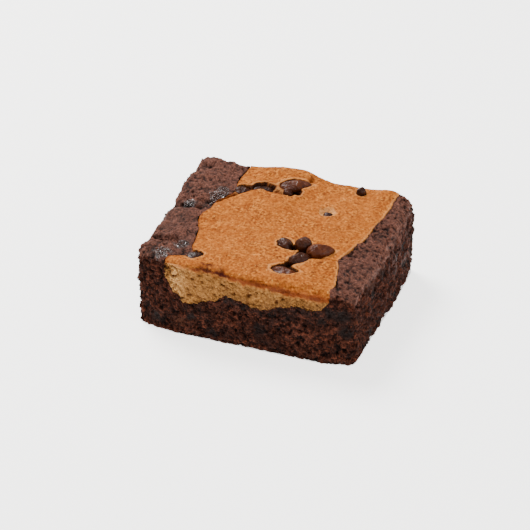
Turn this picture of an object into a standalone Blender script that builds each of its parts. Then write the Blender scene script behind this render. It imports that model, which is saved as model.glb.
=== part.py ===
"""A brookie: a square cut of brownie with a slab of chocolate-chip cookie baked into its top.

The front cut faces -Y, +X is its right hand side and +Z is up. The origin is under the middle of the
base. Lengths in the functions are millimetres; MM turns them into metres where a mesh is made.
"""

import bmesh
import bpy
import numpy as np
from mathutils import Euler, Matrix, Vector

MM = 0.001

# The cut, seen from above.
WIDTH = 88.8
DEPTH = 72.0
HALF_X = WIDTH / 2
HALF_Y = DEPTH / 2

# Clearance between two pieces that touch, the slope of the wall round the cookie's hollow, and how far
# a chip's pocket is cut upwards.
GAP = 0.35
FLOOR_GAP = 0.5
WALL = 0.4
POCKET_RISE = 8.0

# Grid cells of the solids: across a crust strip, across the cookie, front to back, and up.
LEFT_CELLS = 6
RIGHT_CELLS = 4
COOKIE_CELLS = 25
ROWS = 28
BROWNIE_LEVELS = 9
COOKIE_LEVELS = 3
CHIP_SEGMENTS = 12
CHIP_RINGS = 7
SHARP = np.radians(50.0)

# Rounding of the four upright corners.
CORNER = 2.6
# The front and right cuts aren't straight. How far each stands back, along X and along Y, and how far in
# from the cut the crumb is bent with it.
FRONT_BOW = [(-44.0, 3.2), (-37.0, 1.4), (-30.0, 0.2), (-15.0, 0.0), (28.0, 0.0), (36.0, 1.0), (44.0, 2.8)]
RIGHT_BOW = [(-36.0, 2.2), (-26.0, 1.9), (-14.0, 1.3), (-4.0, 0.8), (7.0, 0.2), (36.0, 0.0)]
BOW_REACH = 14.0

# Depth of the crumb that a knife tears out of a cut face, and how far the cuts lean in below LEAN_TOP.
TEAR = 0.8
TEAR_SHARE = 0.25
LEAN = 0.3
LEAN_TOP = 14.0

# Soft unevenness of each surface: (height, size across).
TEAR_LUMPS = [(0.6, 5.2), (0.4, 2.9)]
COOKIE_LUMPS = [(0.35, 9.0)]
CRUST_LUMPS = [(0.7, 7.0), (0.4, 3.6)]
UNDER_LUMPS = [(1.2, 12.0)]

# Each line below is (place, value): along Y for the cookie's two edges, the crust and the right cut.
COOKIE_LEFT = [
    (-35.5, -32.5), (-31.0, -30.2), (-29.4, -25.6), (-27.4, -22.9), (-25.0, -24.9), (-19.4, -26.2),
    (-12.4, -27.4), (-2.0, -30.5), (4.4, -28.2), (9.2, -29.0), (12.6, -26.8), (16.5, -24.2),
    (24.5, -24.9), (35.5, -23.6),
]
COOKIE_RIGHT = [
    (-35.5, 32.6), (-29.0, 32.8), (-22.6, 31.5), (-17.6, 29.9), (-13.9, 28.9), (-10.2, 29.9),
    (-4.3, 31.8), (2.3, 34.0), (10.5, 34.9), (17.7, 36.3), (26.0, 37.0), (35.5, 37.8),
]
CRUST_LEFT = [
    (-35.5, 31.4), (-31.0, 32.6), (-25.0, 31.2), (-15.0, 31.6), (-8.5, 31.0), (-3.0, 32.2),
    (3.0, 30.6), (8.0, 32.0), (14.5, 33.8), (21.0, 34.4), (28.0, 33.7), (35.5, 34.2),
]
CRUST_RIGHT = [
    (-35.5, 29.6), (-24.0, 29.8), (-8.0, 29.6), (6.0, 30.0), (20.0, 30.8), (30.0, 32.4), (35.5, 30.6),
]
CRUST_DROP = 0.8
LOBE_RISE = 0.8
# Cracks between the lobes of the left crust: (place along Y, half width, depth).
CRACKS = [(2.6, 1.6, 2.0), (-21.0, 1.5, 1.5)]

# Along X: height of the cookie's top behind the front edge and at the back, and how it curves up between them.
BACK_CURVE = 3.0
COOKIE_FRONT = [(-36.0, 32.0), (-18.0, 31.8), (-2.0, 31.9), (13.0, 32.4), (28.0, 32.4), (36.0, 31.6)]
COOKIE_BACK = [
    (-28.0, 34.2), (-23.0, 34.6), (-15.6, 35.9), (-8.0, 36.8), (0.0, 36.9), (5.0, 35.3), (9.5, 34.0),
    (20.0, 33.7), (28.5, 34.5), (33.5, 35.3), (40.0, 33.4),
]
# How far each top edge is rounded: in from the cut and down from the top.
FRONT_IN = [(-43.0, 3.6), (-34.0, 3.4), (-30.0, 2.8), (-10.0, 2.4), (20.0, 2.6), (31.0, 2.2), (37.0, 1.2)]
FRONT_DOWN = [(-43.0, 8.0), (-34.0, 7.0), (-30.0, 3.4), (-10.0, 2.8), (20.0, 3.2), (31.0, 2.6), (37.0, 1.2)]
RIGHT_IN = [(-35.5, 2.0), (-26.0, 3.0), (-12.0, 4.0), (4.0, 4.5), (22.0, 4.0), (35.5, 3.0)]
RIGHT_DOWN = [(-35.5, 2.0), (-26.0, 3.4), (-12.0, 5.0), (4.0, 6.0), (22.0, 5.0), (35.5, 4.0)]
EDGE_LEFT = 2.2
EDGE_BACK = 1.4
COOKIE_LIP = 1.3

# Across the cookie from its left edge, 0, to its right edge, 1: height of its underside at both cuts.
UNDER_FRONT = [
    (0.0, 28.0), (0.02, 24.6), (0.05, 20.6), (0.075, 17.2), (0.1, 15.0), (0.16, 14.5), (0.245, 16.6),
    (0.315, 18.3), (0.375, 21.4), (0.425, 21.2), (0.475, 19.9), (0.58, 19.2), (0.64, 19.6),
    (0.7, 21.5), (0.78, 22.6), (0.89, 23.0), (0.96, 24.6), (1.0, 27.4),
]
UNDER_BACK = [
    (0.0, 29.6), (0.04, 25.6), (0.12, 21.8), (0.25, 21.2), (0.38, 23.6), (0.52, 21.8), (0.66, 22.2),
    (0.8, 24.0), (0.9, 22.8), (0.97, 25.6), (1.0, 28.4),
]

# The front lobe of the cookie ends behind in this line: a rolled lip, and a groove before the back lobe.
FOLD = [
    (-33.0, 3.0), (-29.0, 6.0), (-23.8, 12.5), (-19.4, 17.1), (-14.8, 20.2), (-9.1, 20.1), (-3.6, 19.4),
    (-0.3, 20.4), (1.2, 24.5), (3.2, 30.0),
]
FOLD_RISE = 0.7
FOLD_GROOVE = 2.0
FOLD_WIDTH = 1.5
FOLD_CREST = 2.0
FOLD_REACH = 16.0
# It dies out between these two places along X.
FOLD_END = (1.0, 6.0)
# Low mounds on the cookie: (x, y, radius, height).
MOUNDS = [(21.0, -25.0, 8.5, 0.9), (-8.0, -14.0, 18.0, 0.9), (-12.0, 8.0, 13.0, 0.5), (24.0, 9.0, 12.0, 0.5)]

# The chips: place, length, width, thickness, turn about Z and tilt in degrees, and how far the top
# of each stands above the cookie around it.
CHIPS = {
    "chip_notch": ((-22.8, -27.7), (6.6, 5.0, 3.8), 15, 0, 0.4),
    "chip_left_back": ((-21.4, 20.0), (6.4, 4.8, 4.0), 30, 0, 0.3),
    "chip_slit_back": ((-13.5, 22.8), (8.8, 4.6, 5.0), 12, 0, 1.2),
    "chip_long_back": ((-1.8, 26.9), (12.0, 5.8, 5.0), 22, -4, 1.5),
    "chip_small_back": ((-2.9, 20.7), (3.8, 3.4, 5.0), -20, 0, 4.0),
    "chip_upright": ((23.5, 31.6), (4.3, 3.5, 5.6), 75, 0, 2.9),
    "chip_sunk": ((15.7, 14.8), (4.4, 3.6, 3.2), 10, 0, -0.3),
    "chip_cluster_left": ((7.0, -10.8), (6.6, 5.6, 5.6), -50, 8, 1.9),
    "chip_cluster_round": ((14.2, -10.0), (6.6, 6.2, 6.6), 70, 12, 4.0),
    "chip_cluster_lens": ((21.5, -12.5), (10.4, 6.2, 5.8), 34, 2, 3.6),
    "chip_cluster_front": ((15.6, -19.4), (8.2, 6.2, 6.2), 36, -4, 2.8),
    "chip_slit_front": ((12.6, -27.3), (10.6, 5.0, 4.0), -2, 0, 0.2),
}
# How much a chip narrows from its round end to its point.
CHIP_TAPER = 0.28
CHIP_POINT = 0.12
# Chips at the edge of the cookie, which also lie in the brownie.
EDGE_CHIPS = ("chip_notch", "chip_left_back")

LATTICE_SIZE = 24
LATTICE = np.random.default_rng(11).random((LATTICE_SIZE,) * 3) * 2 - 1


def smooth(low, high, value):
    """0 up to low, 1 from high, and an S-curve between them."""
    t = np.clip((value - low) / (high - low), 0, 1)
    return t * t * (3 - 2 * t)


def line(knots, at):
    """A smooth line through (place, value) knots: cubic pieces that share their slope at each knot."""
    place, value = np.array(knots, float).T
    slope = np.gradient(value, place)
    i = np.clip(np.searchsorted(place, at) - 1, 0, len(place) - 2)
    span = place[i + 1] - place[i]
    t = np.clip((at - place[i]) / span, 0, 1)
    start = (2 * t**3 - 3 * t**2 + 1) * value[i] + (t**3 - 2 * t**2 + t) * span * slope[i]
    end = (3 * t**2 - 2 * t**3) * value[i + 1] + (t**3 - t**2) * span * slope[i + 1]
    return start + end


def noise(x, y, z, size):
    """Soft values from -1 to 1, alike over about size: random ones on a cubic lattice, blended between its points."""
    place = np.stack(np.broadcast_arrays(x, y, z), -1) / size
    cell = np.floor(place).astype(int)
    part = place - cell
    part = part * part * (3 - 2 * part)
    total = 0
    for corner in np.ndindex(2, 2, 2):
        i, j, k = np.moveaxis((cell + corner) % LATTICE_SIZE, -1, 0)
        share = np.where(corner, part, 1 - part).prod(-1)
        total = total + LATTICE[i, j, k] * share
    return total


def lumps(x, y, level, layers):
    """The sum of some layers of soft noise, each with its own height and size, at places x, y on a level."""
    return sum(height * noise(x, y, level, size) for height, size in layers)


def cookie_top(x, y):
    """Height of the cookie: the front and back heights blended, the fold, the mounds and slow lumps."""
    back = np.clip(y / DEPTH + 0.5, 0, 1) ** BACK_CURVE
    height = line(COOKIE_FRONT, x) * (1 - back) + line(COOKIE_BACK, x) * back
    ahead = line(FOLD, x) - y
    lip = smooth(-FOLD_WIDTH, FOLD_WIDTH, ahead) * smooth(FOLD_REACH, FOLD_CREST, ahead)
    groove = np.exp(-((ahead / FOLD_WIDTH + 1) ** 2))
    height = height + (FOLD_RISE * lip - FOLD_GROOVE * groove) * (1 - smooth(*FOLD_END, x))
    for mound_x, mound_y, radius, rise in MOUNDS:
        height = height + rise * np.exp(-((x - mound_x) ** 2 + (y - mound_y) ** 2) / radius**2)
    return height + lumps(x, y, 3.0, COOKIE_LUMPS)


def crust_top(x, y):
    """Height of the bare brownie beside the cookie. It runs from just under the cookie's edge, 0, out to the
    side's own height, 1. The left one bulges between the two, and cracks part it into lobes."""
    on_left = x < 0
    edge = np.where(on_left, line(COOKIE_LEFT, y), line(COOKIE_RIGHT, y))
    side = np.where(on_left, line(CRUST_LEFT, y), line(CRUST_RIGHT, y))
    out = np.clip((np.abs(x) - np.abs(edge)) / (HALF_X - np.abs(edge)), 0, 1)
    height = (cookie_top(edge, y) - CRUST_DROP) * (1 - out) + side * out
    height = height + LOBE_RISE * np.sin(np.pi * out) * on_left
    for place, half_width, depth in CRACKS:
        crack = np.exp(-(((y - place) / half_width) ** 2)) * smooth(0, 0.4, out)
        height = height - depth * crack * on_left
    return height + lumps(x, y, 9.0, CRUST_LUMPS)


def cookie_under(across, y):
    """Height of the cookie's underside: the two cuts' lines blended from front to back, with slow lumps."""
    back = smooth(-HALF_Y, HALF_Y, y)
    height = line(UNDER_FRONT, across) * (1 - back) + line(UNDER_BACK, across) * back
    middle = smooth(0, 0.25, across) * smooth(1, 0.75, across)
    return height + middle * lumps(across * 60, y, 5.0, UNDER_LUMPS)


def round_edge(side, height, top, reach, drop):
    """Rounds a top edge: side is the distance in from the cut and height runs up to top. The square corner,
    reach wide and drop deep, is drawn in to a quarter ellipse, which gives the new distance and height."""
    a = np.clip(1 - side / reach, 0, 1)
    b = np.clip(1 - (top - height) / drop, 0, 1)
    both = (a > 0) & (b > 0)
    shrink = np.where(both, np.maximum(a, b) / np.maximum(np.hypot(a, b), 1e-9), 1)
    return side + reach * a * (1 - shrink), height - drop * b * (1 - shrink)


def round_corners(x, y):
    """Rounds the upright corners in the same way: each square corner is drawn in to a quarter circle."""
    a = np.clip(np.abs(x) - (HALF_X - CORNER), 0, None)
    b = np.clip(np.abs(y) - (HALF_Y - CORNER), 0, None)
    both = (a > 0) & (b > 0)
    shrink = np.where(both, np.maximum(a, b) / np.maximum(np.hypot(a, b), 1e-9), 1)
    return x - np.sign(x) * a * (1 - shrink), y - np.sign(y) * b * (1 - shrink)


def bow(x, y):
    """Bends the front and right cuts: a point moves in by its cut's bow, and less the deeper it lies."""
    left = np.maximum(line(RIGHT_BOW, y), 0) * smooth(HALF_X - BOW_REACH, HALF_X, x)
    back = np.maximum(line(FRONT_BOW, x), 0) * smooth(BOW_REACH - HALF_Y, -HALF_Y, y)
    return x - left, y + back


def torn(x, y, z):
    """How far the crumb is torn in from a cut face: lumps of two sizes, never outwards, and a lean at the foot."""
    return TEAR * np.clip(TEAR_SHARE + lumps(x, y, z, TEAR_LUMPS), 0, 1) + LEAN * smooth(LEAN_TOP, 0, z)


def tear_sides(x, y, z, on_side, on_end):
    """Moves the points of the left and right cuts in along X, and those of the front and back cuts in along Y."""
    inward = torn(x, y, z)
    return x - np.sign(x) * inward * on_side, y - np.sign(y) * inward * on_end


def brownie_form(i, j, k):
    """The brownie as a block of cells i, j, k: columns follow the cookie's two edges, and the top is the crust
    beside the cookie and the hollow under it."""
    y = (j / ROWS * 2 - 1) * HALF_Y
    left = line(COOKIE_LEFT, y) - GAP
    right = line(COOKIE_RIGHT, y) + GAP
    first = LEFT_CELLS + 1
    last = first + COOKIE_CELLS
    x = np.select(
        [i <= LEFT_CELLS, i < last],
        [
            -HALF_X + (left - WALL + HALF_X) * i / LEFT_CELLS,
            left + (right - left) * (i - first) / COOKIE_CELLS,
        ],
        right + WALL + (HALF_X - right - WALL) * (i - last - 1) / RIGHT_CELLS,
    )
    x = np.where(i == last, right, x)
    in_hollow = (i >= first) & (i <= last)
    across = np.clip((i - first) / COOKIE_CELLS, 0, 1)
    top = np.where(in_hollow, cookie_under(across, y) - FLOOR_GAP, crust_top(x, y))
    z = top * k / BROWNIE_LEVELS
    on_side = (i == 0) | (i == last + 1 + RIGHT_CELLS)
    on_end = (j == 0) | (j == ROWS)
    side_in = np.where(x < 0, EDGE_LEFT, line(RIGHT_IN, y))
    side_down = np.where(x < 0, EDGE_LEFT, line(RIGHT_DOWN, y))
    side, side_z = round_edge(HALF_X - np.abs(x), z, top, side_in, side_down)
    x = np.where(in_hollow, x, np.sign(x) * (HALF_X - side))
    z = np.where(in_hollow, z, side_z)
    end_in = np.where(y < 0, line(FRONT_IN, x), EDGE_BACK)
    end_down = np.where(y < 0, line(FRONT_DOWN, x), EDGE_BACK)
    end, end_z = round_edge(HALF_Y - np.abs(y), z, top, end_in, end_down)
    y = np.where(in_hollow, y, np.sign(y) * (HALF_Y - end))
    z = np.where(in_hollow, z, end_z)
    x, y = tear_sides(x, y, z, on_side, on_end)
    x, y = bow(*round_corners(x, y))
    return x, y, z


def cookie_form(i, j, k):
    """The cookie as a block of cells i, j, k between its two edges, from its underside up to its top."""
    y = (j / ROWS * 2 - 1) * HALF_Y
    left = line(COOKIE_LEFT, y)
    right = line(COOKIE_RIGHT, y)
    across = i / COOKIE_CELLS
    x = left + (right - left) * across
    top = cookie_top(x, y)
    under = cookie_under(across, y)
    z = under + (top - under) * k / COOKIE_LEVELS
    inset, z = round_edge(np.minimum(x - left, right - x), z, top, COOKIE_LIP, COOKIE_LIP)
    x = np.where(across < 0.5, left + inset, right - inset)
    end_in = np.where(y < 0, line(FRONT_IN, x), EDGE_BACK)
    end_down = np.where(y < 0, line(FRONT_DOWN, x), EDGE_BACK)
    end, z = round_edge(HALF_Y - np.abs(y), z, top, end_in, end_down)
    y = np.sign(y) * (HALF_Y - end)
    x, y = tear_sides(x, y, z, 0, (j == 0) | (j == ROWS))
    x, y = bow(x, y)
    return x, y, z


def material(name, colour, roughness):
    """A plain Principled BSDF in the piece's colour."""
    made = bpy.data.materials.new(name)
    made.use_nodes = True
    shader = made.node_tree.nodes["Principled BSDF"]
    shader.inputs["Base Color"].default_value = (*colour, 1.0)
    shader.inputs["Roughness"].default_value = roughness
    shader.inputs["Metallic"].default_value = 0.0
    return made


def add_object(name, bm, finish):
    """Puts a bmesh into the scene as a named object with its material, smooth except at its sharp edges."""
    mesh = bpy.data.meshes.new(name)
    bm.to_mesh(mesh)
    bm.free()
    mesh.shade_smooth()
    mesh.set_sharp_from_angle(angle=SHARP)
    obj = bpy.data.objects.new(name, mesh)
    bpy.context.scene.collection.objects.link(obj)
    if finish:
        mesh.materials.append(finish)
    return obj


def celled_box(cells):
    """A closed box from the origin to the corner at cells, its skin sliced into unit squares."""
    bm = bmesh.new()
    bmesh.ops.create_cube(bm, size=1.0)
    bmesh.ops.translate(bm, verts=bm.verts, vec=(0.5, 0.5, 0.5))
    bmesh.ops.scale(bm, verts=bm.verts, vec=cells)
    for axis, count in enumerate(cells):
        normal = Vector([float(axis == other) for other in range(3)])
        for step in range(1, count):
            everything = bm.verts[:] + bm.edges[:] + bm.faces[:]
            bmesh.ops.bisect_plane(bm, geom=everything, plane_co=normal * step, plane_no=normal)
    return bm


def block(name, cells, form, finish):
    """A sliced box whose every point is carried to its place in the food by form."""
    bm = celled_box(cells)
    cell = np.rint([vert.co for vert in bm.verts])
    places = np.stack(form(*cell.T), -1) * MM
    for vert, place in zip(bm.verts, places):
        vert.co = place
    base = [face for face in bm.faces if all(abs(vert.co.z) < 1e-7 for vert in face.verts)]
    if base:
        bmesh.ops.dissolve_faces(bm, faces=base, use_verts=True)
    return add_object(name, bm, finish)


def chip_place(name):
    """Where a chip's middle is, in metres, and how it is turned."""
    (x, y), (_, _, thickness), turn, tilt, rise = CHIPS[name]
    z = float(cookie_top(np.array(x), np.array(y))) + rise - thickness / 2
    turned = Euler((0.0, np.radians(tilt), np.radians(turn)))
    return Matrix.Translation(Vector((x, y, z)) * MM) @ turned.to_matrix().to_4x4()


def chip_mesh(size, extra):
    """A baking drop lying down: a sphere whose rings narrow to a blunt point at +X, pressed to its thickness.
    extra is added all round."""
    bm = bmesh.new()
    bmesh.ops.create_uvsphere(bm, u_segments=CHIP_SEGMENTS, v_segments=CHIP_RINGS, radius=1.0)
    half = (Vector(size) / 2 + Vector((extra, extra, extra))) * MM
    for vert in bm.verts:
        along = vert.co.z
        narrow = 1.0 - CHIP_TAPER * along - CHIP_POINT * along * along
        vert.co = Vector((along * half.x, vert.co.x * narrow * half.y, vert.co.y * narrow * half.z))
    return bm


def add_chip(name, finish):
    """A chip, and the cutter for its pocket: the chip with its clearance, opened straight upwards."""
    size = CHIPS[name][1]
    place = chip_place(name)
    bm = chip_mesh(size, 0.0)
    bm.transform(place)
    add_object(name, bm, finish)
    drop = chip_mesh(size, GAP)
    drop.transform(place)
    pocket = bmesh.new()
    for vert in drop.verts:
        pocket.verts.new(vert.co)
        pocket.verts.new(vert.co + Vector((0, 0, POCKET_RISE * MM)))
    drop.free()
    bmesh.ops.convex_hull(pocket, input=pocket.verts[:])
    inside = [vert for vert in pocket.verts if not vert.link_faces]
    bmesh.ops.delete(pocket, geom=inside, context="VERTS")
    bmesh.ops.recalc_face_normals(pocket, faces=pocket.faces)
    cutter = add_object(name + "_pocket", pocket, None)
    cutter.hide_render = True
    cutter.display_type = "WIRE"
    return cutter


def cut_pockets(obj, cutters):
    """Cuts each chip's pocket out of the piece."""
    for cutter in cutters:
        cut = obj.modifiers.new(cutter.name, "BOOLEAN")
        cut.operation = "DIFFERENCE"
        cut.solver = "EXACT"
        cut.object = cutter


def main():
    for obj in list(bpy.data.objects):
        bpy.data.objects.remove(obj)
    brownie_finish = material("brownie", (0.075, 0.028, 0.017), 0.75)
    cookie_finish = material("cookie", (0.58, 0.27, 0.09), 0.7)
    chip_finish = material("chocolate", (0.06, 0.024, 0.014), 0.4)
    across = LEFT_CELLS + COOKIE_CELLS + RIGHT_CELLS + 2
    brownie = block("brownie", (across, ROWS, BROWNIE_LEVELS), brownie_form, brownie_finish)
    cookie = block("cookie", (COOKIE_CELLS, ROWS, COOKIE_LEVELS), cookie_form, cookie_finish)
    cutters = {name: add_chip(name, chip_finish) for name in CHIPS}
    cut_pockets(cookie, cutters.values())
    cut_pockets(brownie, [cutters[name] for name in EDGE_CHIPS])


main()
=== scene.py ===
"""The looks of a brookie: a square cut of brownie with a slab of chocolate-chip cookie baked into its top.

Lengths in the shape functions are millimetres, and MM turns them into metres where a mesh is made. The
front cut faces -Y and +Z is up. The brownie and the cookie are blocks of cells: each side of a block is a
grid of two whole numbers, which a formula carries to its place in the food. Colours are linear red, green
and blue. A salt is any whole number, one for each noise, that keeps it unlike the others.
"""

import math

import bpy
import numpy as np
from mathutils import Matrix, Vector


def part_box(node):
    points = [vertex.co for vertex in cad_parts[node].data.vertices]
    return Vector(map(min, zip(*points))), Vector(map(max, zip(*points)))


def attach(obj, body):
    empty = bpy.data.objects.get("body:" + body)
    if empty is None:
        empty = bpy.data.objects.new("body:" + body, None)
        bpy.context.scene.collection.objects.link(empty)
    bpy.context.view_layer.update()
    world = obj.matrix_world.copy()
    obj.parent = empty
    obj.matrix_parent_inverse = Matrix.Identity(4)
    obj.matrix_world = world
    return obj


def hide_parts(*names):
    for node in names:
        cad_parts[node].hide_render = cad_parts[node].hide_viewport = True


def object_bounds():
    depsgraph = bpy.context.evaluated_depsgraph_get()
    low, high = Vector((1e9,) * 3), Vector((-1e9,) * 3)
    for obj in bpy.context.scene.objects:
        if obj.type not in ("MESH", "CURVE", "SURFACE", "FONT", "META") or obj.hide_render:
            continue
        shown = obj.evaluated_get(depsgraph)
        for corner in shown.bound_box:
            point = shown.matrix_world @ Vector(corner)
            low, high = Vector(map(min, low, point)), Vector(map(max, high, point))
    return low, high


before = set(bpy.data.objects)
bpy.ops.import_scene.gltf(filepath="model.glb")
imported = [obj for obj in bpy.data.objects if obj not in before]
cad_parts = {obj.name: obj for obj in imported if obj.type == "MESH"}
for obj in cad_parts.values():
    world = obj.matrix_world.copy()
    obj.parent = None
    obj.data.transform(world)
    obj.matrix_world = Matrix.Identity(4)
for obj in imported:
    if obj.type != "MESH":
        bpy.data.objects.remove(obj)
cad_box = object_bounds()

MM = 0.001

# The cut, seen from above, from the frame's own box.
HALF_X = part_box("brownie")[1].x / MM
HALF_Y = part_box("brownie")[1].y / MM
TOP_LIMIT = cad_box[1].z / MM
DEPTH = 2 * HALF_Y

# Cells of the brownie: across its left crust, across the cookie, across its right crust, front to back, up.
LEFT_CELLS = 44
OVER_CELLS = 184
RIGHT_CELLS = 30
BROWNIE_ROWS = 214
BROWNIE_LEVELS = 73
FIRST = LEFT_CELLS + 1
LAST = FIRST + OVER_CELLS
ACROSS = LAST + 1 + RIGHT_CELLS
# Cells of the cookie: across, front to back, up.
COOKIE_CELLS = 212
COOKIE_ROWS = 214
COOKIE_LEVELS = 30
# Hidden stretches have one cell where others have this many. The top levels of the cookie's walls stay fine.
THIN = 6
FINE_LEVELS = 12

# The seam between the cookie and the brownie: the slit, the wall beside it, and the gap under the cookie.
CREVICE = 0.03
WALL = 0.08
SEAT_GAP = 0.05

# Rounding of the four upright corners.
CORNER = 2.6
# How far the front and right cuts stand back, along X and Y, and how far in the crumb is bent with them.
FRONT_BOW = [(-44, 3.2), (-37, 1.4), (-30, 0.2), (-15, 0), (28, 0), (36, 1.0), (44, 2.8)]
RIGHT_BOW = [(-36, 2.2), (-26, 1.9), (-14, 1.3), (-4, 0.8), (7, 0.2), (36, 0)]
BOW_REACH = 14.0

# Depth of the crumb that a knife tears out of a cut face, and how far the cuts lean in below LEAN_TOP.
TEAR = 0.8
TEAR_SHARE = 0.25
LEAN = 0.3
LEAN_TOP = 14.0

# Slow unevenness of each surface: (height, size across), and the level at which it is cut from the noise.
TEAR_LUMPS = [(0.6, 5.2), (0.4, 2.9)]
COOKIE_LUMPS = [(0.35, 9.0)]
COOKIE_SLICE = 3.0
CRUST_LUMPS = [(0.7, 7.0), (0.4, 3.6)]
CRUST_SLICE = 9.0
UNDER_LUMPS = [(1.2, 12.0)]
UNDER_SLICE = 5.0
# Fine unevenness: (height, size across, salt).
EDGE_RAGS = [(0.35, 2.1, 1), (0.2, 0.9, 2)]
UNDER_RAGS = [(0.8, 2.2, 3), (0.6, 1.0, 4)]
BAKED_RAGS = [(0.9, 2.6, 51), (0.6, 1.1, 52)]
COOKIE_SAND = [(0.1, 2.0, 56), (0.1, 1.0, 57), (0.07, 0.75, 58), (0.2, 4.5, 59)]
CRUST_WRINKLES = [(0.4, 1.6, 12), (0.3, 1.1, 13)]

# Each line below is (place, value): along Y for the cookie's two edges, the crust and the right cut.
COOKIE_LEFT = [
    (-35.5, -32.5), (-31, -30.2), (-29.4, -25.6), (-27.4, -22.9), (-25, -24.9), (-19.4, -26.2),
    (-12.4, -27.4), (-2, -30.5), (4.4, -28.2), (9.2, -29), (12.6, -26.8), (16.5, -24.2), (24.5, -24.9),
    (35.5, -23.6),
]
COOKIE_RIGHT = [
    (-35.5, 32.6), (-29, 32.8), (-22.6, 31.5), (-17.6, 29.9), (-13.9, 28.9), (-10.2, 29.9), (-4.3, 31.8),
    (2.3, 34), (10.5, 34.9), (17.7, 36.3), (26, 37), (35.5, 37.8),
]
CRUST_LEFT = [
    (-35.5, 31.4), (-31, 32.6), (-25, 31.2), (-15, 31.6), (-8.5, 31), (-3, 32.2), (3, 30.6), (8, 32),
    (14.5, 33.8), (21, 34.4), (28, 33.7), (35.5, 34.2),
]
CRUST_RIGHT = [(-35.5, 29.6), (-24, 29.8), (-8, 29.6), (6, 30), (20, 30.8), (30, 32.4), (35.5, 30.6)]
# How far the left and right crusts lie under the cookie's edge, how uneven that is, its size and reach.
CRUST_DROP = (0.6, 0.09)
SEAM_UNEVEN = (0.55, 0.2)
SEAM_SIZE = 2.6
SEAM_REACH = 0.5
# How high the lobes of the left crust bulge, and the cracks between them: (place along Y, half width, depth).
# A crack wanders this far, over this size, and starts over this share of the crust's width.
LOBE_RISE = 0.8
CRACKS = [(2.6, 1.3, 2.6), (-21.0, 1.3, 1.9)]
CRACK_WANDER = 0.8
CRACK_SIZE = 4.0
CRACK_START = 0.4

# Along X: the cookie's height behind the front edge and at the back, blended by the way back to this power.
BACK_CURVE = 3.0
COOKIE_FRONT = [(-36, 32), (-18, 31.8), (-2, 31.9), (13, 32.4), (28, 32.4), (36, 31.6)]
COOKIE_BACK = [
    (-28, 34.2), (-23, 34.6), (-15.6, 35.9), (-8, 36.8), (0, 36.9), (5, 35.3), (9.5, 34), (20, 33.7),
    (28.5, 34.5), (33.5, 35.3), (40, 33.4),
]
# How far each top edge is rounded: in from the cut and down from the top.
FRONT_IN = [(-43, 3.6), (-34, 3.4), (-30, 2.8), (-10, 2.4), (20, 2.6), (31, 2.2), (37, 1.2)]
FRONT_DOWN = [(-43, 8), (-34, 7), (-30, 3.4), (-10, 2.8), (20, 3.2), (31, 2.6), (37, 1.2)]
RIGHT_IN = [(-35.5, 2), (-26, 3), (-12, 4), (4, 4.5), (22, 4), (35.5, 3)]
RIGHT_DOWN = [(-35.5, 2), (-26, 3.4), (-12, 5), (4, 6), (22, 5), (35.5, 4)]
EDGE_LEFT = 2.2
EDGE_BACK = 1.4
# Rounding of the cookie's own left and right edges.
LIP_LEFT = 1.0
LIP_RIGHT = 0.25
# How far the baked skin of the cookie reaches down the front cut, along X, and down the back cut.
BAKED_DOWN = [
    (-34, 1.5), (-24, 1.7), (-12, 2.4), (-3, 3.2), (5, 3.8), (12.5, 4.8), (28, 5.2), (34, 4.2),
]
BAKED_BACK = 1.68

# Across the cookie from its left edge, 0, to its right edge, 1: height of its underside at both cuts.
UNDER_FRONT = [
    (0, 28), (0.02, 24.6), (0.05, 20.6), (0.075, 17.2), (0.1, 15), (0.16, 14.5), (0.245, 16.6),
    (0.315, 18.3), (0.375, 21.4), (0.425, 21.2), (0.475, 19.9), (0.58, 19.2), (0.64, 19.6), (0.7, 21.5),
    (0.78, 22.6), (0.89, 23), (0.96, 24.6), (1, 27.4),
]
UNDER_BACK = [
    (0, 29.6), (0.04, 25.6), (0.12, 21.8), (0.25, 21.2), (0.38, 23.6), (0.52, 21.8), (0.66, 22.2),
    (0.8, 24), (0.9, 22.8), (0.97, 25.6), (1, 28.4),
]
# The width over which its lumps and its rags are spread, and the share of it at each edge without lumps.
LUMP_SPAN = 60.0
RAG_SPAN = 65.0
RAG_SLICE = 0.4
UNDER_CALM = 0.25
# The rags start in this share of the width, and are this much stronger near the left edge.
RAG_START = 0.015
RAG_LEFT = 2.6
RAG_LEFT_END = (0.14, 0.06)

# The front lobe of the cookie ends behind in this line: a rolled lip, and a groove before the back lobe.
FOLD = [
    (-33, 3), (-29, 6), (-23.8, 12.5), (-19.4, 17.1), (-14.8, 20.2), (-9.1, 20.1), (-3.6, 19.4),
    (-0.3, 20.4), (1.2, 24.5), (3.2, 30),
]
FOLD_RISE = 0.7
FOLD_GROOVE = 2.0
FOLD_WIDTH = 1.5
FOLD_CREST = 2.0
FOLD_REACH = 16.0
# It dies out between these two places along X.
FOLD_END = (1.0, 6.0)
# A fine crease round the bulge at the right front, from the front slit to the cookie's right edge, and the
# roll before it.
CREASE = [(10, -22.5), (12.5, -20.5), (16, -19), (20, -17.2), (24, -16), (27.5, -15.6), (32, -14.6)]
CREASE_DEPTH = 1.2
CREASE_WIDTH = 0.6
CREASE_LIP = 0.7
CREASE_ROLL = 2.2
CREASE_FADE = 1.0
# Low mounds on the cookie: (x, y, radius, height).
MOUNDS = [(21, -25, 8.5, 0.9), (-8, -14, 18, 0.9), (-12, 8, 13, 0.5), (24, 9, 12, 0.5)]

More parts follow.
